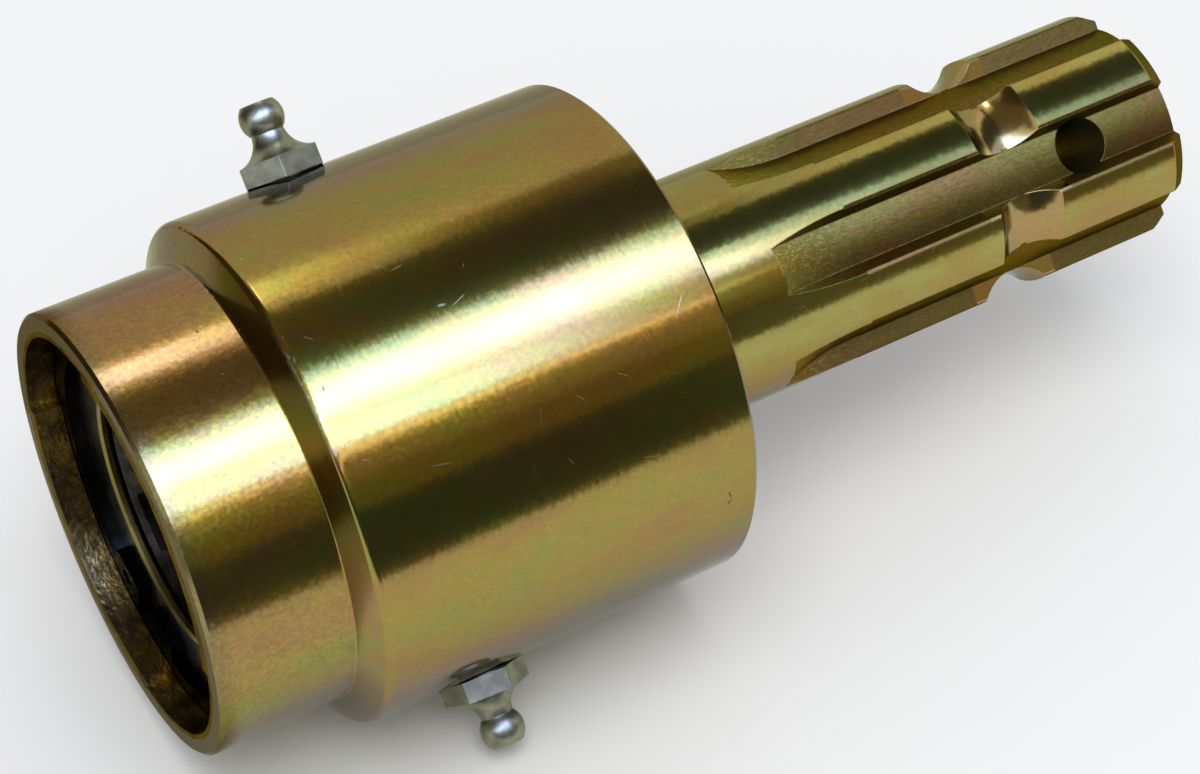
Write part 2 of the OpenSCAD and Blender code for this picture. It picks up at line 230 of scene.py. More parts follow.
@dataclass(frozen=True)
class Grain:
    """A noise pattern whose features have a real size along each axis."""

    size_mm: Triple
    detail: float = 2.0
    roughness: float = 0.5
    # Moves the pattern, so that two patterns of one size differ
    shift: float = 0.0
    distortion: float = 0.0

    def sample(self, surface: Surface) -> Socket:
        """Sample the pattern.

        Args:
            surface: The surface that shows it.

        Returns:
            The pattern's value, about 0.3 to 0.7.
        """
        moved = add(surface.tree, "Mapping", {
            "Vector": surface.place, "Location": (self.shift,) * 3,
            "Scale": tuple(1 / side for side in self.size_mm)})
        return add(surface.tree, "TexNoise", {
            "Vector": moved, "Scale": 1.0, "Detail": self.detail,
            "Roughness": self.roughness, "Distortion": self.distortion})


@dataclass(frozen=True)
class Mark:
    """One narrow mark on the turned outside of the casing.

    Its two ends are places on the casing: millimetres from the mouth, and degrees about its axis.
    """

    start: tuple[float, float]
    end: tuple[float, float]
    width_mm: float = 0.16
    colour: str = "#c3c9b4"
    strength: float = 0.4
    # The mark is whole up to this share of its half width
    core: float = 0.4

    def mask(self, surface: Surface, unrolled: Socket) -> Socket:
        """Mask of the mark.

        Args:
            surface: The surface that carries the mark.
            unrolled: Place on the unrolled outside, in millimetres.

        Returns:
            The mark's strength along its middle, falling to 0 at its edge.
        """
        ends = [(x, math.radians(deg - UP_DEG) * HOUSING_R) for x, deg in (self.start, self.end)]
        run, rise = ends[1][0] - ends[0][0], ends[1][1] - ends[0][1]
        middle = ((ends[0][0] + ends[1][0]) / 2, (ends[0][1] + ends[1][1]) / 2, 0.0)
        local = add(surface.tree, "Mapping", {
            "Vector": unrolled, "Location": middle, "Rotation": (0.0, 0.0, math.atan2(rise, run)),
            "Scale": (math.hypot(run, rise) / 2, self.width_mm / 2, 1.0)}, vector_type="TEXTURE")
        reach = add(surface.tree, "VectorMath", (local,), out="Value", operation="LENGTH")
        return add(surface.tree, "MapRange", (reach, self.core, 1.0, self.strength, 0.0))


# Looks of the marks: a dark nick, a faint scratch and a bruise on an edge
DARK = {"colour": "#2c2a18", "strength": 0.75, "width_mm": 0.4}
FAINT = {"strength": 0.2, "width_mm": 0.14}
NICK = {"colour": "#9aa0a4", "strength": 0.3, "width_mm": 0.35}
# Scratches and nicks that the real casing has, and two tinted lines along the collar's foot
CASING_MARKS = (
    Mark((38.7, 102.1), (41.3, 101.6), 0.22),
    Mark((42.7, 107.4), (43.9, 108.8), **FAINT),
    Mark((41.9, 113.1), (43.4, 113.5), 0.5),
    Mark((43.5, 114.6), (46.8, 112.5)),
    Mark((73.4, 129.3), (70.7, 134.4), strength=0.45),
    Mark((54.0, 140.0), (55.7, 143.3), strength=0.35),
    Mark((45.6, 136.4), (46.2, 141.7), **FAINT),
    Mark((49.4, 138.7), (48.2, 145.1), **FAINT),
    Mark((32.3, 142.3), (36.2, 143.7), 0.22),
    Mark((46.3, 148.2), (45.5, 155.9), **FAINT),
    Mark((65.1, 136.8), (64.5, 140.2), **FAINT),
    Mark((66.2, 143.4), (69.0, 144.7), **FAINT),
    Mark((25.4, 135.8), (25.5, 138.6), **FAINT),
    Mark((28.9, 135.9), (30.8, 138.2), **FAINT),
    Mark((33.0, 151.4), (32.4, 155.5), **FAINT),
    Mark((23.4, 84.0), (23.6, 85.0), 0.4),
    Mark((24.8, 88.1), (25.6, 89.2), **FAINT),
    Mark((24.3, 108.0), (25.8, 110.3)),
    Mark((27.7, 105.8), (28.1, 106.7), **FAINT),
    Mark((72.8, 176.3), (73.4, 178.9), **DARK),
    Mark((73.4, 178.9), (72.7, 180.8), **DARK),
    Mark((23.9, 119.4), (23.7, 120.8), **DARK),
    Mark((14.6, 91.4), (14.8, 92.6), **DARK),
    Mark((20.3, 55.6), (20.5, 57.6), **DARK),
    # Red and green lines along the foot fillet where the collar meets the shoulder
    Mark((19.5, 63.0), (19.5, 72.0), 0.3, "#8c3a24", 0.8),
    Mark((19.5, 70.0), (19.6, 79.0), 0.3, "#3f5a24", 0.7),
    Mark((22.2, 88.1), (22.0, 90.7), **NICK),
    Mark((22.3, 106.7), (22.2, 107.5), **NICK),
    Mark((22.3, 111.4), (22.0, 113.4), **NICK),
    Mark((22.1, 116.7), (22.0, 118.0), **NICK),
)


@dataclass
class Layers:
    """The plating's layers as they build up, each the socket that its shader or bump reads."""

    tree: Tree
    colour: Socket
    scratch: Socket
    # Mask of the dull collar, which the shaft hasn't
    dull: Socket | None = None
    rough: Socket | None = None
    height: Socket | None = None
    # Gloss of the chromate film, and the share of the streaks that the tool left
    coat: Socket | None = None
    streaks: Socket | None = None

    def paint(self, mask: Socket, colour: str | Socket) -> None:
        """Lay a colour over the others.

        Args:
            mask: Where it lies.
            colour: Its hex code, or its socket.
        """
        value = linear(colour) if isinstance(colour, str) else colour
        self.colour = add(self.tree, "Mix", {0: mask, 6: self.colour, 7: value}, **RGBA)

    def roughen(self, mask: Socket, rough: float) -> None:
        """Give the place of a mask its own roughness."""
        self.rough = add(self.tree, "Mix", {0: mask, 2: self.rough, 3: rough})

    def by_dullness(self, usual: float, there: float) -> Socket | float:
        """Choose a value by whether the surface is the dull collar.

        Args:
            usual: The value everywhere else.
            there: The value on the collar.

        Returns:
            The value's socket, or the usual value where nothing is dull.
        """
        if self.dull is None:
            return usual
        return add(self.tree, "Mix", {0: self.dull, 2: usual, 3: there})


@dataclass(frozen=True)
class YellowChromate:
    """Steel with a glossy yellow zinc chromate plating.

    The thin chromate film gives soft clouds of olive, gold, green and pink over the metal, and
    the cut of the steel under it still shows as fine marks.
    """

    name: str
    cut: Finish
    # The film, from its thinnest to its thickest
    green: str = "#858732"
    olive: str = "#91862c"
    gold: str = "#99832a"
    tan: str = "#9b7d2f"
    pink: str = "#997636"
    film_places: tuple[float, ...] = (0.36, 0.44, 0.5, 0.57, 0.66)
    edge_tint: str = "#8c8460"
    coat: float = 0.85
    coat_roughness: float = 0.1
    coat_ior: float = 1.55
    brushed: float = 0.4
    brush_turn: float = 0.25
    broad_clouds: Grain = Grain((26.0, 9.0, 9.0), distortion=0.6)
    fine_clouds: Grain = Grain((5.0, 2.5, 2.5), detail=3.0, shift=7.0)
    fine_share: float = 0.22
    # The film's colour shifts with height: browner on the casing's upper side, greener on the
    # shaft's
    lift_per_mm: float = 0.0012
    # Turning leaves rings about 0.15 mm apart, drawn at 0.35 mm so that they show
    rings: Grain = Grain((0.35, 5.0, 5.0), detail=3.0, roughness=0.7)
    ring_roughness: float = 0.07
    ring_height_mm: float = 0.03
    ring_tilt: float = 0.08
    turned_roughness: float = 0.175
    dull_roughness: float = 0.22
    # Fine grit of the steel, which takes the place of the rings by this share
    grit: Grain = Grain((0.5, 0.5, 0.5), shift=11.0)
    grit_share: float = 0.12
    dull_grit_share: float = 0.75
    # The tool's short marks tilt the surface round the axis by up to about a degree
    fuzz: Grain = Grain((0.3, 2.6, 2.6), roughness=0.6, shift=13.0)
    fuzz_tilt: float = 0.04
    wave: Grain = Grain((16.0, 9.0, 9.0), detail=1.0, shift=17.0)
    wave_tilt: float = 0.012
    dull_streaks: float = 0.45
    shaft_streaks: float = 0.4
    # The plated skin is a little uneven, like a fine orange peel, more so on the collar
    peel: Grain = Grain((0.9, 0.8, 0.8), detail=4.0, roughness=0.6, shift=23.0)
    peel_tilt: float = 0.05
    mottling: Grain = Grain((0.7, 0.6, 0.6), detail=3.0, roughness=0.7, shift=31.0)
    mottle_stops: Stops = (0.3, 0.7, 1.0, -1.0)
    mottle: float = 0.13
    dull_mottle: float = 0.26
    # Random scratches: one cell in five or so has one, up to 2.4 mm long and 0.1 mm wide
    scratch_cell_mm: float = 9.0
    scratch_chance: float = 0.78
    scratch_half_mm: float = 1.2
    scratch_stops: Stops = (0.02, 0.07, 0.8, 0.0)
    scratch_roughness: float = 0.55
    scratch_depth: float = 0.5
    # The collar's upper side has a copper tint, in patches
    copper: str = "#a36a3c"
    copper_patches: Grain = Grain((14.0, 8.0, 8.0), shift=9.0)
    patch_reach_mm: float = 20.0
    copper_stops: Stops = (4.0, 18.0, 0.0, 0.6)
    copper_soft_mm: float = 0.4
    copper_depth_mm: float = 0.9
    dull_soft_mm: float = 0.3
    # The rim at the mouth is hazy, with little gloss
    haze: str = "#837a58"
    rim_stops: Stops = (0.6, 3.4, 0.6, 0.0)
    rim_dulling: float = 1.25
    # The bore's land is bare gold near the mouth with blots of old grease; deeper in, its dark
    # brown is painted shade as well as grease
    bore_gold: str = "#bd9c4a"
    bore_roughness: float = 0.26
    grease_and_shade_brown: str = "#382b12"
    grease_blots: Grain = Grain((3.0, 4.0, 4.0), detail=4.0, shift=5.0)
    blot_stops: Stops = (0.42, 0.62, 0.0, 0.75)
    deep_shade_stops: Stops = (3.9, 4.4, 0.0, 0.93)
    grease_lumps: Grain = Grain((0.9, 1.1, 1.1), shift=19.0)
    lump_mm: float = 0.13
    lump_strength: float = 0.8
    # A milling cutter leaves the flutes matt, with fine lines along them; their dark olive and
    # brown is partly painted shade, weak where the run-out is shallow and full where the flutes
    # are deep
    milled_and_shade_olive: str = "#5e5426"
    milled_and_shade_brown: str = "#6b4f2e"
    brown_drift: Grain = Grain((18.0, 5.0, 5.0), shift=29.0)
    drift_stops: Stops = (0.42, 0.6)
    milled_roughness: float = 0.4
    mill_lines: Grain = Grain((0.7, 0.3, 0.3), detail=3.0, roughness=0.7)
    mill_depth: float = 10.0
    specks: Grain = Grain((0.9, 0.3, 0.3), detail=4.0, roughness=0.7, shift=2.0)
    speck_stops: Stops = (0.34, 0.66, 1.0, 0.6)
    flute_shade_stops: Stops = (FLUTES_FROM, FLUTES_DEEP, 0.1, 1.0)
    # Painted glints: pale specks on the cutter's fine marks near where it ran out
    glint: str = "#d3cc92"
    glint_stops: Stops = (0.54, 0.62, 0.0, 0.7)
    groove_pink: str = "#b08a58"
    groove_share: float = 0.5
    groove_edge_mm: float = 0.5
    groove_floor_mm: float = 1.2
    # How far inside a land, the groove's edge or a flute's floor a facet may lie
    land_slack_mm: float = 0.12
    groove_slack_mm: float = 0.05
    floor_slack_mm: float = 0.03
    flange_grease_and_shade: float = 0.85
    flange_slack_mm: float = 0.1
    edge_mm: float = 0.25

    def round_normal(self, surface: Surface, centre: Triple, outward: float) -> Socket:
        """Work out the true normal of a rounding that runs round the axis.

        Args:
            surface: The surface.
            centre: The rounding's centre along the axis, its centre radius and its radius.
            outward: 1 for a rounded corner, or -1 for a fillet.

        Returns:
            The unit normal in world space.
        """
        tree = surface.tree
        axial, rise = (
            add(tree, "Math", (add(tree, "Math", (value, middle), operation="SUBTRACT"), outward),
                operation="MULTIPLY")
            for value, middle in ((surface.x, centre[0]), (surface.radius, centre[1])))
        share = add(tree, "Math", (rise, surface.radius), operation="DIVIDE")
        aside, upward = (add(tree, "Math", (side, share), operation="MULTIPLY")
                         for side in (surface.across, surface.up))
        world = surface.to_world(add(tree, "CombineXYZ", (axial, aside, upward)))
        return add(tree, "VectorMath", (world,), operation="NORMALIZE")

    def shoulder_normal(self, surface: Surface) -> Socket:
        """Smooth the shoulder's roundings, so that no facet shows.

        Args:
            surface: The casing's surface.

        Returns:
            The mesh's normal, with the true one at the rounded corner and the foot fillet.
        """
        tree = surface.tree
        normal = add(tree, "NewGeometry", out="Normal")
        corner = overlap(tree,
                         add(tree, "Math", (surface.x, SHOULDER_ROUND[0]), operation="LESS_THAN"),
                         add(tree, "Math", (surface.radius, SHOULDER_TANGENT_R),
                             operation="GREATER_THAN"))
        foot = overlap(tree, band(tree, surface.radius, FILLET_FROM_R, FILLET_END[1], FILLET_SOFT),
                       band(tree, surface.x, SHOULDER_FILLET[0], FILLET_END[0], FILLET_SOFT))
        rounds = (corner, SHOULDER_ROUND, 1.0), (foot, SHOULDER_FILLET, -1.0)
        for mask, centre, outward in rounds:
            true = self.round_normal(surface, centre, outward)
            normal = add(tree, "Mix", {0: mask, 4: normal, 5: true}, out=1, data_type="VECTOR")
        return normal

    def tilted(self, surface: Surface, normal: Socket, streaks: Socket) -> Socket:
        """Tilt a normal round the clutch's axis, by the tool's marks and a slow waviness.

        Args:
            surface: The surface.
            normal: The normal in world space.
            streaks: 1 where the tool left streaks, falling to 0 where the skin is only uneven.

        Returns:
            The tilted normal.
        """
        tree = surface.tree
        peel_less = overlap(tree, streaks, self.peel_tilt)
        peel_most = add(tree, "Math", (self.peel_tilt * 2, peel_less), operation="SUBTRACT")
        tilt = 0.0
        for grain, most in ((self.fuzz, overlap(tree, streaks, self.fuzz_tilt)),
                            (self.wave, self.wave_tilt), (self.peel, peel_most)):
            swing = add(tree, "Math", (grain.sample(surface), NOISE_MIDDLE), operation="SUBTRACT")
            tilt = add(tree, "Math", (tilt, overlap(tree, swing, most)), operation="ADD")
        downward = add(tree, "Math", (surface.up, -1.0), operation="MULTIPLY")
        around = add(tree, "CombineXYZ", {1: downward, 2: surface.across})
        unit = add(tree, "VectorMath", (around,), operation="NORMALIZE")
        push = add(tree, "VectorMath", {0: surface.to_world(unit), "Scale": tilt},
                   operation="SCALE")
        moved = add(tree, "VectorMath", (normal, push), operation="ADD")
        return add(tree, "VectorMath", (moved,), operation="NORMALIZE")

    def clouds(self, surface: Surface) -> Socket:
        """Colour the chromate film by a noise that stands for its thickness.

        Args:
            surface: The surface.

        Returns:
            The film's colour.
        """
        tree = surface.tree
        mixed = add(tree, "Mix", {0: self.fine_share, 2: self.broad_clouds.sample(surface),
                                  3: self.fine_clouds.sample(surface)})
        lift = add(tree, "Math", (surface.up, self.lift_per_mm), operation="MULTIPLY")
        film = add(tree, "ValToRGB", (add(tree, "Math", (mixed, lift), operation="ADD"),))
        elements = film.node.color_ramp.elements
        colours = (self.green, self.olive, self.gold, self.tan, self.pink)
        ready = len(elements)
        for index, (position, colour) in enumerate(zip(self.film_places, colours)):
            stop = elements[index] if index < ready else elements.new(position)
            stop.position = position
            stop.color = linear(colour)
        return film

    def scratches(self, surface: Surface) -> Socket:
        """Scatter short scratches, at most one in each cell of the unrolled surface.

        Args:
            surface: The surface.

        Returns:
            The scratches' mask.
        """
        tree = surface.tree
        unrolled = surface.unrolled()
        cells = add(tree, "TexVoronoi", {"Vector": unrolled, "Scale": 1 / self.scratch_cell_mm},
                    voronoi_dimensions="2D", feature="F1").node.outputs
        spin, size, chance = add(tree, "SeparateXYZ", (cells["Color"],)).node.outputs
        local = add(tree, "VectorMath", (unrolled, cells["Position"]), operation="SUBTRACT")
        turn = add(tree, "Math", (spin, math.pi), operation="MULTIPLY")
        spun = add(tree, "VectorRotate", {"Vector": local, "Angle": turn}, rotation_type="Z_AXIS")
        along, aside = (add(tree, "Math", (side,), operation="ABSOLUTE")
                        for side in add(tree, "SeparateXYZ", (spun,)).node.outputs[:2])
        length = add(tree, "Math", (size, self.scratch_half_mm), operation="MULTIPLY")
        return overlap(tree, add(tree, "Math", (along, length), operation="LESS_THAN"),
                       add(tree, "MapRange", (aside, *self.scratch_stops)),
                       add(tree, "Math", (chance, self.scratch_chance), operation="GREATER_THAN"))

    def copper_mask(self, surface: Surface) -> Socket:
        """Find the copper tint on the collar's upper side.

        Args:
            surface: The casing's surface.

        Returns:
            The tint's mask.
        """
        tree = surface.tree
        patches = add(tree, "Math", (self.copper_patches.sample(surface), self.patch_reach_mm),
                      operation="MULTIPLY")
        level = add(tree, "Math", (surface.across, patches), operation="ADD")
        return overlap(tree, band(tree, surface.x, BEFORE_MOUTH, COLLAR_LEN, self.copper_soft_mm),
                       add(tree, "Math", (surface.radius, COLLAR_R - self.copper_depth_mm),
                           operation="GREATER_THAN"),
                       add(tree, "MapRange", (level, *self.copper_stops)))

    def milled_mask(self, surface: Surface) -> Socket:
        """Find the flutes, which lie inside the shaft's outer radius, without the groove.

        Args:
            surface: The shaft's surface.

        Returns:
            The flutes' mask.
        """
        tree = surface.tree
        past_middle = add(tree, "Math", (surface.x, GROOVE_X), operation="SUBTRACT")
        from_middle = add(tree, "Math", (past_middle,), operation="ABSOLUTE")
        wall = overlap(tree, add(tree, "Math", (from_middle, GROOVE_HALF), operation="LESS_THAN"),
                       add(tree, "Math", (surface.radius, ROOT_R + self.floor_slack_mm),
                           operation="GREATER_THAN"))
        from_tooth = add(tree, "Math", (surface.angle, math.radians(TOOTH_DEG - UP_DEG)),
                         operation="SUBTRACT")
        teeth = add(tree, "Math", (from_tooth, TEETH), operation="MULTIPLY")
        wave = add(tree, "Math", (teeth,), operation="COSINE")
        bottom = overlap(tree, add(tree, "Math", (from_middle, self.groove_floor_mm),
                                   operation="LESS_THAN"),
                         add(tree, "Math", (wave, 0.0), operation="GREATER_THAN"))
        groove = add(tree, "Math", (wall, bottom), operation="MAXIMUM")
        return overlap(tree,
                       add(tree, "Math", (surface.radius, SPLINE_R - self.land_slack_mm),
                           operation="LESS_THAN"),
                       add(tree, "Math", (surface.x, FLUTES_FROM), operation="GREATER_THAN"),
                       outside(tree, groove))

    def bore_mask(self, surface: Surface) -> Socket:
        """Mask of the casing's bore."""
        return add(surface.tree, "Math", (surface.radius, BORE_R), operation="LESS_THAN")

    def start(self, surface: Surface) -> Layers:
        """Lay the film's clouds over rings and scratches, as everywhere on the plating.

        Args:
            surface: The surface.

        Returns:
            The first layers.
        """
        tree = surface.tree
        skin = Layers(tree, self.clouds(surface), self.scratches(surface))
        if self.cut is Finish.TURNED:
            skin.dull = band(tree, surface.x, BEFORE_MOUTH, COLLAR_LEN, self.dull_soft_mm)
        rings = self.rings.sample(surface)
        swing = overlap(tree, add(tree, "Math", (rings, NOISE_MIDDLE), operation="SUBTRACT"),
                        self.ring_roughness)
        even = skin.by_dullness(self.turned_roughness, self.dull_roughness)
        skin.rough = add(tree, "Math", (even, swing), operation="ADD")
        skin.height = add(tree, "Mix", {
            0: skin.by_dullness(self.grit_share, self.dull_grit_share), 2: rings,
            3: self.grit.sample(surface)})
        return skin

    def add_milled(self, surface: Surface, skin: Layers) -> None:
        """Add what only the shaft has: matt flutes, a pinkish groove and a flange painted dark for
        shade and grease.

        Args:
            surface: The shaft's surface.
            skin: Its layers.
        """
        tree = surface.tree
        milled = self.milled_mask(surface)
        lines = overlap(tree, self.mill_lines.sample(surface), self.mill_depth)
        skin.height = add(tree, "Mix", {0: milled, 2: skin.height, 3: lines})
        skin.roughen(milled, self.milled_roughness)
        specks = self.specks.sample(surface)
        deep_shade = add(tree, "MapRange", (surface.x, *self.flute_shade_stops))
        browner = add(tree, "MapRange", (self.brown_drift.sample(surface), *self.drift_stops))
        steel = add(tree, "Mix", {0: browner, 6: linear(self.milled_and_shade_olive),
                                  7: linear(self.milled_and_shade_brown)}, **RGBA)
        shade = add(tree, "MapRange", (specks, *self.speck_stops))
        skin.paint(overlap(tree, shade, deep_shade, milled), steel)
        # Painted glints near the run-out
        glints = add(tree, "MapRange", (specks, *self.glint_stops))
        skin.paint(overlap(tree, glints, outside(tree, deep_shade), milled), self.glint)
        plain = outside(tree, milled)
        skin.streaks = overlap(tree, plain, self.shaft_streaks)
        groove = band(tree, surface.x, GROOVE_X - GROOVE_HALF, GROOVE_X + GROOVE_HALF,
                      self.groove_edge_mm)
        sunk = add(tree, "Math", (surface.radius, SPLINE_R - self.groove_slack_mm),
                   operation="LESS_THAN")
        skin.paint(overlap(tree, plain, groove, sunk, self.groove_share), self.groove_pink)
        # The shaft's flange lies inside the casing, painted dark brown for the shade in there and
        # its old grease
        open_air = add(tree, "Math", (surface.x, CASING_LEN - self.flange_slack_mm),
                       operation="GREATER_THAN")
        hidden = outside(tree, open_air)
        skin.paint(overlap(tree, hidden, self.flange_grease_and_shade), self.grease_and_shade_brown)
        skin.roughen(hidden, self.milled_roughness)
        skin.coat = overlap(tree, plain, self.coat, open_air)

    def add_turned(self, surface: Surface, skin: Layers) -> None:
        """Add what only the casing has: a bore with grease and painted shade, a copper collar, a
        hazy rim and marks.

        Args:
            surface: The casing's surface.
            skin: Its layers.
        """
        tree = surface.tree
        inside = self.bore_mask(surface)
        blots = add(tree, "MapRange", (self.grease_blots.sample(surface), *self.blot_stops))
        # Past the land the bore turns dark brown: painted shade inside the casing, with old grease
        deeper_shade = add(tree, "MapRange", (surface.x, *self.deep_shade_stops))
        grease = add(tree, "Math", (blots, deeper_shade), operation="MAXIMUM")
        skin.paint(inside, self.bore_gold)
        skin.paint(overlap(tree, inside, grease), self.grease_and_shade_brown)
        skin.roughen(inside, self.bore_roughness)
        open_air = outside(tree, inside)
        skin.streaks = overlap(tree, open_air, skin.by_dullness(1.0, self.dull_streaks))
        skin.paint(self.copper_mask(surface), self.copper)
        near_rim = add(tree, "MapRange", (surface.x, *self.rim_stops))
        skin.paint(near_rim, self.haze)
        off_rim = outside(tree, overlap(tree, near_rim, self.rim_dulling))
        skin.coat = overlap(tree, open_air, off_rim, self.coat)
        unrolled = surface.unrolled()
        for mark in CASING_MARKS:
            mask = mark.mask(surface, unrolled)
            skin.paint(mask, mark.colour)
            skin.scratch = add(tree, "Math", (skin.scratch, mask), operation="MAXIMUM")

    def bumped(self, surface: Surface, skin: Layers) -> Socket:
        """Bump the surface by its fine marks, and the bore by its lumps of grease.

        Args:
            surface: The surface.
            skin: Its finished layers.

        Returns:
            The bumped normal.
        """
        tree = surface.tree
        turned = self.cut is Finish.TURNED
        base = (self.shoulder_normal(surface) if turned else
                add(tree, "Bevel", {"Radius": self.edge_mm * MM}, samples=4))
        normal = add(tree, "Bump", {"Strength": self.ring_tilt, "Height": skin.height,
                                    "Distance": self.ring_height_mm * MM, "Normal": base})
        if turned:
            strength = overlap(tree, self.bore_mask(surface), self.lump_strength)
            normal = add(tree, "Bump", {"Strength": strength, "Distance": self.lump_mm * MM,
                                        "Height": self.grease_lumps.sample(surface),
                                        "Normal": normal})
        return normal

    def mottled(self, surface: Surface, skin: Layers) -> Socket:
        """Make the layers' colour a little uneven.

        Args:
            surface: The surface.
            skin: Its finished layers.

        Returns:
            The colour.
        """
        tree = surface.tree
        swing = add(tree, "MapRange", (self.mottling.sample(surface), *self.mottle_stops))
        depth = skin.by_dullness(self.mottle, self.dull_mottle)
        shade = add(tree, "Math", (1.0, overlap(tree, swing, depth)), operation="ADD")
        return add(tree, "VectorMath", {0: skin.colour, "Scale": shade}, operation="SCALE")

    def build(self) -> bpy.types.Material:
        """Make the material.

        Returns:
            The material.
        """
        surface = Surface(self.name)
        tree = surface.tree
        skin = self.start(surface)
        if self.cut is Finish.MILLED:
            self.add_milled(surface, skin)
        else:
            self.add_turned(surface, skin)
        skin.roughen(skin.scratch, self.scratch_roughness)
        cut_in = overlap(tree, skin.scratch, self.scratch_depth)
        skin.height = add(tree, "Math", (skin.height, cut_in), operation="SUBTRACT")
        shader = add(tree, "BsdfPrincipled", {
            "Base Color": self.mottled(surface, skin), "Metallic": 1.0, "Roughness": skin.rough,
            "Normal": self.tilted(surface, self.bumped(surface, skin), skin.streaks),
            "Specular Tint": linear(self.edge_tint), "Anisotropic": self.brushed,
            "Anisotropic Rotation": self.brush_turn,
            "Tangent": add(tree, "Tangent", direction_type="RADIAL", axis="X"),
            "Coat Weight": skin.coat, "Coat Roughness": self.coat_roughness,
            "Coat IOR": self.coat_ior})
        return surface.finish(shader)


@dataclass(frozen=True)
class PlainMetal:
    """A bare or thinly plated steel with fine machining marks and a little grease.

    The eye sees an even grey metal, with marks across the light and darker greasy blots.
    """

    name: str
    clean: str
    greasy: str
    roughness: float
    grease: float
    mark_mm: Triple
    oil_coat: float = 0.0
    oil_roughness: float = 0.08
    oil_ior: float = 1.48
    edge_mm: float = 0.12
    # Inside this radius the metal is of another colour, for example a light gold ring at a bore's
    # edge, and painted shade at a seat
    inner_mm: float = 0.0
    inner: str = "#000000"
    # A dark greasy film stays dark where the eye sees it at a low angle
    edge_tint: str = "#ffffff"
    blots: Grain = Grain((2.4, 2.4, 2.4), detail=4.0, shift=4.0)
    blot_from: float = 0.38
    blot_to: float = 0.64
    # The marks make the metal smoother or rougher by this much, and swing between these values
    smoother: float = 0.07
    rougher: float = 0.09
    mark_from: float = 0.3
    mark_to: float = 0.7
    mark_height_mm: float = 0.03
    mark_strength: float = 0.25

    def build(self) -> bpy.types.Material:
        """Make the material.

        Returns:
            The material.
        """
        surface = Surface(self.name)
        tree = surface.tree
        marks = Grain(self.mark_mm, detail=3.0, roughness=0.6).sample(surface)
        dirt = add(tree, "MapRange", (self.blots.sample(surface), self.blot_from, self.blot_to,
                                      0.0, self.grease))
        colour = add(tree, "Mix", {0: dirt, 6: linear(self.clean), 7: linear(self.greasy)}, **RGBA)
        if self.inner_mm:
            inner = add(tree, "Math", (surface.radius, self.inner_mm), operation="LESS_THAN")
            colour = add(tree, "Mix", {0: inner, 6: colour, 7: linear(self.inner)}, **RGBA)
        rough = add(tree, "MapRange", (marks, self.mark_from, self.mark_to,
                                       self.roughness - self.smoother,
                                       self.roughness + self.rougher))
        bump = add(tree, "Bump", {
            "Strength": self.mark_strength, "Distance": self.mark_height_mm * MM, "Height": marks,
            "Normal": add(tree, "Bevel", {"Radius": self.edge_mm * MM}, samples=4)})
        return surface.finish(add(tree, "BsdfPrincipled", {
            "Base Color": colour, "Metallic": 1.0, "Roughness": rough, "Normal": bump,
            "Specular Tint": linear(self.edge_tint), "Coat Weight": self.oil_coat,
            "Coat Roughness": self.oil_roughness, "Coat IOR": self.oil_ior}))


# Casing: turned steel, yellow chromated, with a soft gloss in rings round its axis
CASING_PLATING = YellowChromate("yellow_chromate_turned", Finish.TURNED)
# Shaft: the same bath on turned and milled steel, a little greener and more even
SHAFT_PLATING = YellowChromate("yellow_chromate_milled", Finish.MILLED, green="#9e9642",
                               olive="#9a8f3c", gold="#9c8631", tan="#9e7e36", pink="#9c783e",
                               edge_tint="#a0a370", coat=0.8, mottle=0.1, lift_per_mm=-0.0055)
# Grease fittings: turned steel with a clear zinc plating, a satin neutral grey, their seat on the
# casing painted near black as shade
CLEAR_ZINC = PlainMetal("clear_zinc_steel", clean="#98997c", greasy="#6a6b58", roughness=0.34,
                        grease=0.7, mark_mm=(0.25, 0.2, 0.2), inner_mm=NIPPLE_SEAT_SHADE_R,
                        inner="#16140f")
# Retaining ring: spring steel, black phosphated and wet with grease
BLACK_PHOSPHATE = PlainMetal("black_phosphate_steel", clean="#20221c", greasy="#0d0e0b",
                             roughness=0.3, grease=0.9, mark_mm=(0.4, 0.6, 0.6), oil_coat=0.1,
                             edge_tint="#6b675c")
# Hub and rear washer: hardened steel, ground, painted dark for the shade inside the casing and old
# grease
SHADED_GREASY_STEEL = PlainMetal("shaded_greasy_hardened_steel", clean="#39342a", greasy="#13100b",
                           roughness=0.36, grease=0.9, mark_mm=(0.3, 3.0, 3.0), oil_coat=0.15,
                           edge_tint="#6b675c")
# Front washer: the same, painted dark for shade and grease, with a light gold ring at the edge of
# its bore
SHADED_GREASY_WASHER = PlainMetal("shaded_greasy_washer_steel", clean="#3d3a30", greasy="#17140e",
                            roughness=0.36, grease=0.9, mark_mm=(0.3, 3.0, 3.0), oil_coat=0.2,
                            inner_mm=WASHER_GOLD_EDGE_R, inner="#86743a")
# Keys, springs and check balls: bright hardened steel with an oil film
BRIGHT_STEEL = PlainMetal("bright_spring_steel", clean="#9c9da0", greasy="#6e6c66",
                          roughness=0.24, grease=0.6, mark_mm=(3.0, 0.3, 0.3), oil_coat=0.3)


def dress(material: bpy.types.Material, slot: str, *nodes: str) -> None:
    """Give CAD nodes a finish.

    Args:
        material: The finish.
        slot: The record's material slot.
        *nodes: Names of the nodes.
    """
    for name in nodes:
        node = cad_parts[name]
        node.data.materials.clear()
        node.data.materials.append(material)
        LOG.info("%s: %s (%s)", name, material.name, slot)


@dataclass
class Casing:
    """The turned casing with its collar, housing and bore."""

    nodes: tuple[str, ...] = ("casing",)

    def build(self) -> None:
        """Dress the casing."""
        dress(CASING_PLATING.build(), "yellow_zinc", *self.nodes)


@dataclass
class OutputShaft:
    """The six-spline shaft that closes the casing."""

    nodes: tuple[str, ...] = ("output_shaft",)

    def build(self) -> None:
        """Dress the shaft."""
        dress(SHAFT_PLATING.build(), "yellow_zinc", *self.nodes)


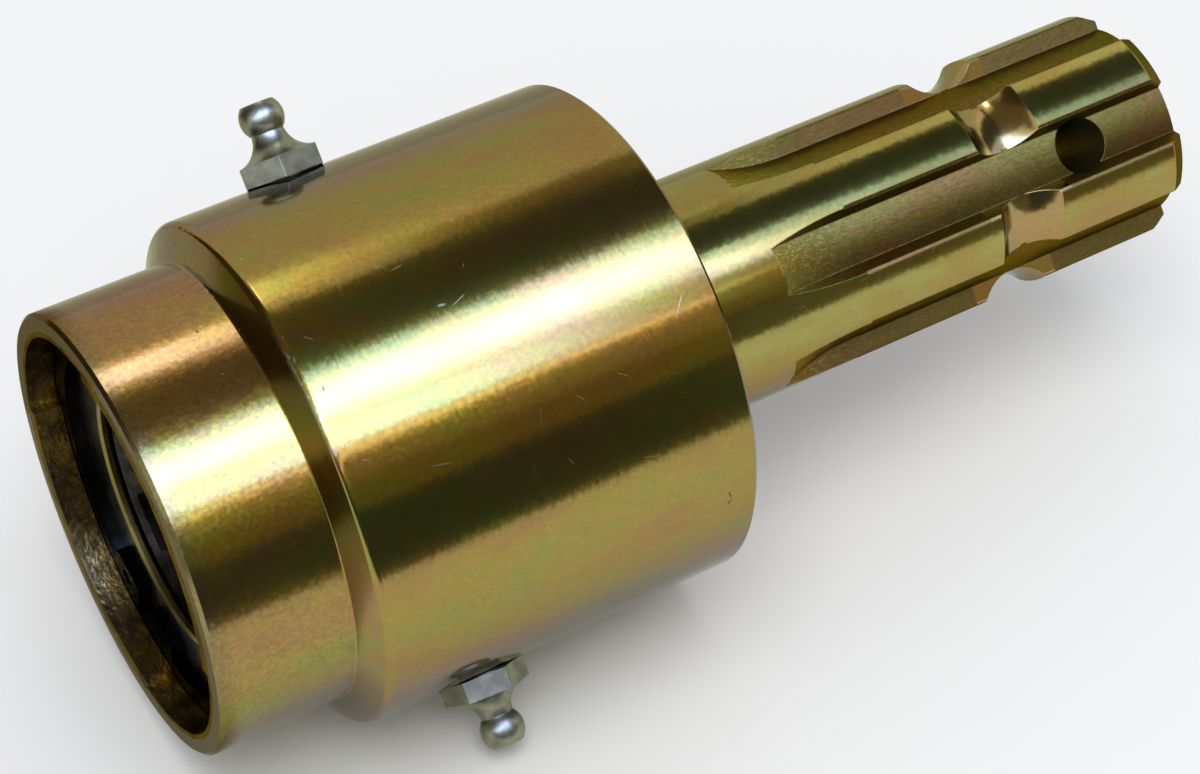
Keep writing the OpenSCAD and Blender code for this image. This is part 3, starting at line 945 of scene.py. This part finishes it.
@dataclass
class Freewheel:
    """The hub with its keys, springs, washers and retaining ring."""

    hub_nodes: tuple[str, ...] = ("hub", "rear_thrust_washer")
    washer_nodes: tuple[str, ...] = ("front_thrust_washer",)
    ring_nodes: tuple[str, ...] = ("retaining_ring",)
    key_nodes: tuple[str, ...] = ("key_1", "key_2")
    spring_nodes: tuple[str, ...] = tuple(f"key_spring_{n}{c}" for n in (1, 2) for c in "abc")

    def build(self) -> None:
        """Dress the pieces inside the casing."""
        dress(SHADED_GREASY_STEEL.build(), "dark_steel", *self.hub_nodes)
        dress(SHADED_GREASY_WASHER.build(), "dark_steel", *self.washer_nodes)
        dress(BLACK_PHOSPHATE.build(), "black_oxide", *self.ring_nodes)
        dress(BRIGHT_STEEL.build(), "spring_steel", *self.key_nodes, *self.spring_nodes)


@dataclass
class GreaseFittings:
    """The two grease nipples with their check valves."""

    sides: tuple[int, ...] = (1, 2)
    ball_travel_mm: float = 0.8
    merge_mm: float = 0.001

    def check_spring(self, side: int, material: bpy.types.Material) -> None:
        """Make one check spring as a copy of the CAD spring, riding on the casing.

        Args:
            side: Which nipple, 1 or 2.
            material: The spring's finish.
        """
        name = f"check_spring_{side}"
        bpy.ops.object.select_all(action="DESELECT")
        spring = bpy.data.objects.new(f"valve_spring_{side}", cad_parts[name].data.copy())
        bpy.context.collection.objects.link(spring)
        spring.select_set(True)
        bpy.context.view_layer.objects.active = spring
        bpy.ops.object.mode_set(mode="EDIT")
        bpy.ops.mesh.select_all(action="SELECT")
        bpy.ops.mesh.remove_doubles(threshold=self.merge_mm * MM)
        bpy.ops.object.mode_set(mode="OBJECT")
        spring.data.materials.clear()
        spring.data.materials.append(material)
        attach(spring, "outer_casing")
        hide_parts(name)
        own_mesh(spring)

    def build(self) -> None:
        """Dress the nipples and their valves."""
        dress(CLEAR_ZINC.build(), "zinc_steel", *(f"grease_nipple_{n}" for n in self.sides))
        valve = BRIGHT_STEEL.build()
        dress(valve, "spring_steel", *(f"check_ball_{n}" for n in self.sides))
        for side in self.sides:
            self.check_spring(side, valve)


@dataclass(frozen=True)
class Card:
    """A long studio panel beside the clutch that only reflections see.

    Its two long edges lie at angles about the clutch's axis and at their own distances from it.
    """

    name: str
    start_deg: float
    end_deg: float
    colour: Triple
    start_m: float = 1.3
    end_m: float = 1.3
    x_from_m: float = -2.0
    x_to_m: float = 3.0
    lean_deg: float = 0.0
    # The colour at its long edges, which fades in over this share of its width
    edge_colour: Triple | None = None
    edge_share: float = 0.2
    # The colour beyond these places along it
    fade_m: tuple[float, float] | None = None
    fade_colour: Triple = (0.0, 0.0, 0.0)


def pale_rays(tree: Tree) -> Socket:
    """Mask that is 1 for the rays that show the pale background.

    Args:
        tree: The node tree.

    Returns:
        1 for camera, glossy and transmission rays, and 0 for the rest.
    """
    path = add(tree, "LightPath").node.outputs
    some = add(tree, "Math", (path["Is Camera Ray"], path["Is Glossy Ray"]), operation="MAXIMUM")
    return add(tree, "Math", (some, path["Is Transmission Ray"]), operation="MAXIMUM")


@dataclass
class Studio:
    """Pale floor, world, soft lamp and the panels that the plating mirrors."""

    floor_size_m: float = 12.0
    floor_colour: str = "#f2f2f2"
    fill_strength: float = 0.74
    fill_colour: Triple = (0.95, 0.97, 1.0)
    lamp_watts: float = 6.2
    lamp_size_m: float = 0.8
    lamp_place_m: Triple = (-0.1, -0.35, 1.1)
    lamp_aim_m: Triple = (0.06, 0.0, 0.0)
    # Half the width of a panel, as its own coordinates have it
    half_panel: float = 0.5
    cards: tuple[Card, ...] = (
        Card("back_wall", 1.0, 59.0, (0.68, 0.66, 0.58)),
        # A dim sheet just above the floor behind the clutch: painted shadow of the floor there,
        # seen only in reflections
        Card("back_floor_shade", -30.0, -2.0, (0.6, 0.58, 0.4), start_m=0.071, end_m=1.0,
             x_from_m=-1.0, x_to_m=2.0),
        Card("left_wall", 60.0, 70.0, (1.0, 0.85, 0.7), start_m=1.25, end_m=1.25, x_from_m=0.15,
             x_to_m=0.46),
        Card("left_window", 51.5, 63.0, (6.5, 6.5, 8.0), start_m=1.2, end_m=1.2, x_from_m=0.15,
             x_to_m=0.35, fade_m=(0.25, 0.35), fade_colour=(2.5, 2.3, 2.0)),
        Card("back_wall_top", 58.0, 68.0, (1.1, 1.0, 0.85), start_m=1.25, end_m=1.25,
             x_from_m=0.67),
        Card("dark_overhead", 59.0, 99.0, (0.17, 0.135, 0.08), fade_m=(0.32, 0.45),
             fade_colour=(0.045, 0.055, 0.055)),
        Card("softbox", 97.9, 125.5, (6.0, 6.8, 15.5), lean_deg=-10.0, edge_share=0.4,
             edge_colour=(0.8, 1.5, 2.6), fade_m=(0.61, 0.68), fade_colour=(0.8, 0.86, 1.5)),
        Card("softbox_foot", 124.0, 133.0, (3.8, 5.1, 10.0), start_m=1.28, end_m=1.28,
             fade_m=(0.48, 0.59), fade_colour=(0.33, 0.29, 0.2)),
        Card("thin_strip", 134.0, 135.8, (4.4, 3.5, 2.8), start_m=1.24, end_m=1.24,
             lean_deg=-6.0, fade_m=(0.6, 0.66), fade_colour=(0.33, 0.29, 0.2)),
        Card("dark_corner", -9.4, 68.2, (0.06, 0.045, 0.03), start_m=0.203, end_m=0.539,
             x_from_m=-2.0, x_to_m=-0.06),
        Card("dark_left", 135.0, 160.2, (0.07, 0.055, 0.035), start_m=0.354, end_m=0.266,
             x_from_m=-1.4, x_to_m=-0.3),
        Card("dim_front", 130.0, 147.0, (0.33, 0.29, 0.13), fade_m=(0.62, 0.72),
             fade_colour=(0.43, 0.37, 0.2)),
        Card("dimmer_front", 147.0, 172.0, (0.2, 0.17, 0.06), fade_m=(0.62, 0.72),
             fade_colour=(0.27, 0.23, 0.1)),
        Card("dark_front", 158.0, 188.0, (0.055, 0.063, 0.06), start_m=0.255, end_m=0.255,
             x_from_m=-0.8, x_to_m=1.4, fade_m=(0.16, 0.2), fade_colour=(0.16, 0.15, 0.1)),
    )

    def world(self) -> None:
        """White background for the eye and for reflections, and a softer fill for the rest."""
        world = bpy.data.worlds.new("studio_world")
        bpy.context.scene.world = world
        world.use_nodes = True
        tree = world.node_tree
        tree.nodes.clear()
        fill = add(tree, "Background", ((*self.fill_colour, 1.0), self.fill_strength))
        pale = add(tree, "Background", ((1.0, 1.0, 1.0, 1.0), 1.0))
        add(tree, "OutputWorld", {
            "Surface": add(tree, "MixShader", (pale_rays(tree), fill, pale))})

    def floor(self) -> None:
        """Pale floor just under the clutch."""
        level = -HOUSING_R * MM
        bpy.ops.object.select_all(action="DESELECT")
        bpy.ops.mesh.primitive_plane_add(size=self.floor_size_m, location=(0.0, 0.0, level))
        floor = bpy.context.active_object
        floor.name = "studio_floor"
        material = bpy.data.materials.new("pale_floor")
        material.use_nodes = True
        tree = material.node_tree
        tree.nodes.clear()
        matt = add(tree, "BsdfDiffuse", {"Color": linear(self.floor_colour)})
        add(tree, "OutputMaterial", {"Surface": matt})
        floor.data.materials.append(material)

    def card_light(self, card: Card, middle_m: float) -> bpy.types.Material:
        """Make a panel's light.

        Args:
            card: The panel.
            middle_m: Where its middle lies along the clutch's axis.

        Returns:
            The panel's material.
        """
        material = bpy.data.materials.new("panel_" + card.name)
        material.use_nodes = True
        tree = material.node_tree
        tree.nodes.clear()
        colour: object = (*card.colour, 1.0)
        place = add(tree, "TexCoord", out="Object")
        along, aside, _ = add(tree, "SeparateXYZ", (place,)).node.outputs
        if card.fade_m:
            ends = ((x - middle_m) / (card.x_to_m - card.x_from_m) for x in card.fade_m)
            spent = add(tree, "MapRange", (along, *ends))
            colour = add(tree, "Mix", {0: spent, 6: colour, 7: (*card.fade_colour, 1.0)}, **RGBA)
        if card.edge_colour:
            from_middle = add(tree, "Math", (aside,), operation="ABSOLUTE")
            inset = add(tree, "Math", (self.half_panel, from_middle), operation="SUBTRACT")
            core = add(tree, "MapRange", (inset, 0.0, card.edge_share))
            colour = add(tree, "Mix", {0: core, 6: (*card.edge_colour, 1.0), 7: colour}, **RGBA)
        light = add(tree, "Emission", {"Color": colour, "Strength": 1.0})
        add(tree, "OutputMaterial", {"Surface": light})
        return material

    def card(self, card: Card) -> None:
        """Put up one panel.

        Args:
            card: The panel.
        """
        start, end = (Vector((math.cos(math.radians(deg)), math.sin(math.radians(deg)))) * reach
                      for deg, reach in ((card.start_deg, card.start_m),
                                         (card.end_deg, card.end_m)))
        across = end - start
        middle = (start + end) / 2
        bpy.ops.object.select_all(action="DESELECT")
        bpy.ops.mesh.primitive_plane_add(
            size=1.0, location=((card.x_from_m + card.x_to_m) / 2, middle.x, middle.y),
            rotation=(math.atan2(across.y, across.x), 0.0, 0.0))
        panel = bpy.context.active_object
        panel.name = "studio_" + card.name
        panel.scale = (card.x_to_m - card.x_from_m, across.length, 1.0)
        panel.rotation_euler.rotate_axis("Z", math.radians(card.lean_deg))
        panel.data.materials.append(self.card_light(card, panel.location.x))
        panel.visible_camera = False
        panel.visible_diffuse = False
        panel.visible_shadow = False
        panel.visible_transmission = False

    def lamp(self) -> None:
        """One soft lamp overhead that draws the shadow on the floor."""
        data = bpy.data.lights.new("soft_lamp", "AREA")
        data.energy = self.lamp_watts
        data.size = self.lamp_size_m
        lamp = bpy.data.objects.new("soft_lamp", data)
        bpy.context.collection.objects.link(lamp)
        lamp.location = self.lamp_place_m
        aim = Vector(self.lamp_aim_m) - lamp.location
        lamp.rotation_euler = aim.to_track_quat("-Z", "Y").to_euler()
        lamp.visible_glossy = False

    def build(self) -> None:
        """Build the studio and set the plain view transform."""
        self.world()
        self.floor()
        for card in self.cards:
            self.card(card)
        self.lamp()
        bpy.context.scene.view_settings.view_transform = "Standard"
        LOG.info("studio: floor, lamp and %d panels", len(self.cards))


@dataclass
class PhotoCamera:
    """The camera, placed where the photograph was taken from."""

    place_mm: Triple = (-82.4, -263.3, 298.9)
    heading_deg: float = 30.8
    dip_deg: float = 45.25
    focal_px: float = 3037.6
    image_width_px: float = 1200.0
    sensor_mm: float = 36.0
    clip_start_m: float = 0.01

    def build(self) -> None:
        """Add the camera and make it the scene's."""
        data = bpy.data.cameras.new("photo_camera")
        data.sensor_fit = "HORIZONTAL"
        data.sensor_width = self.sensor_mm
        data.lens = self.focal_px / self.image_width_px * self.sensor_mm
        data.clip_start = self.clip_start_m
        camera = bpy.data.objects.new("photo_camera", data)
        bpy.context.collection.objects.link(camera)
        camera.location = Vector(self.place_mm) * MM
        camera.rotation_euler = (math.radians(90.0 - self.dip_deg), 0.0,
                                 -math.radians(self.heading_deg))
        bpy.context.scene.camera = camera
        LOG.info("camera: %.1f mm lens", data.lens)


def main() -> None:
    """Set up the camera, dress every sub-assembly, and build the studio round them."""
    logging.basicConfig(level=logging.INFO)
    PhotoCamera().build()
    for assembly in (Casing(), OutputShaft(), Freewheel(), GreaseFittings()):
        assembly.build()
    Studio().build()


if __name__ == "__main__":
    main()
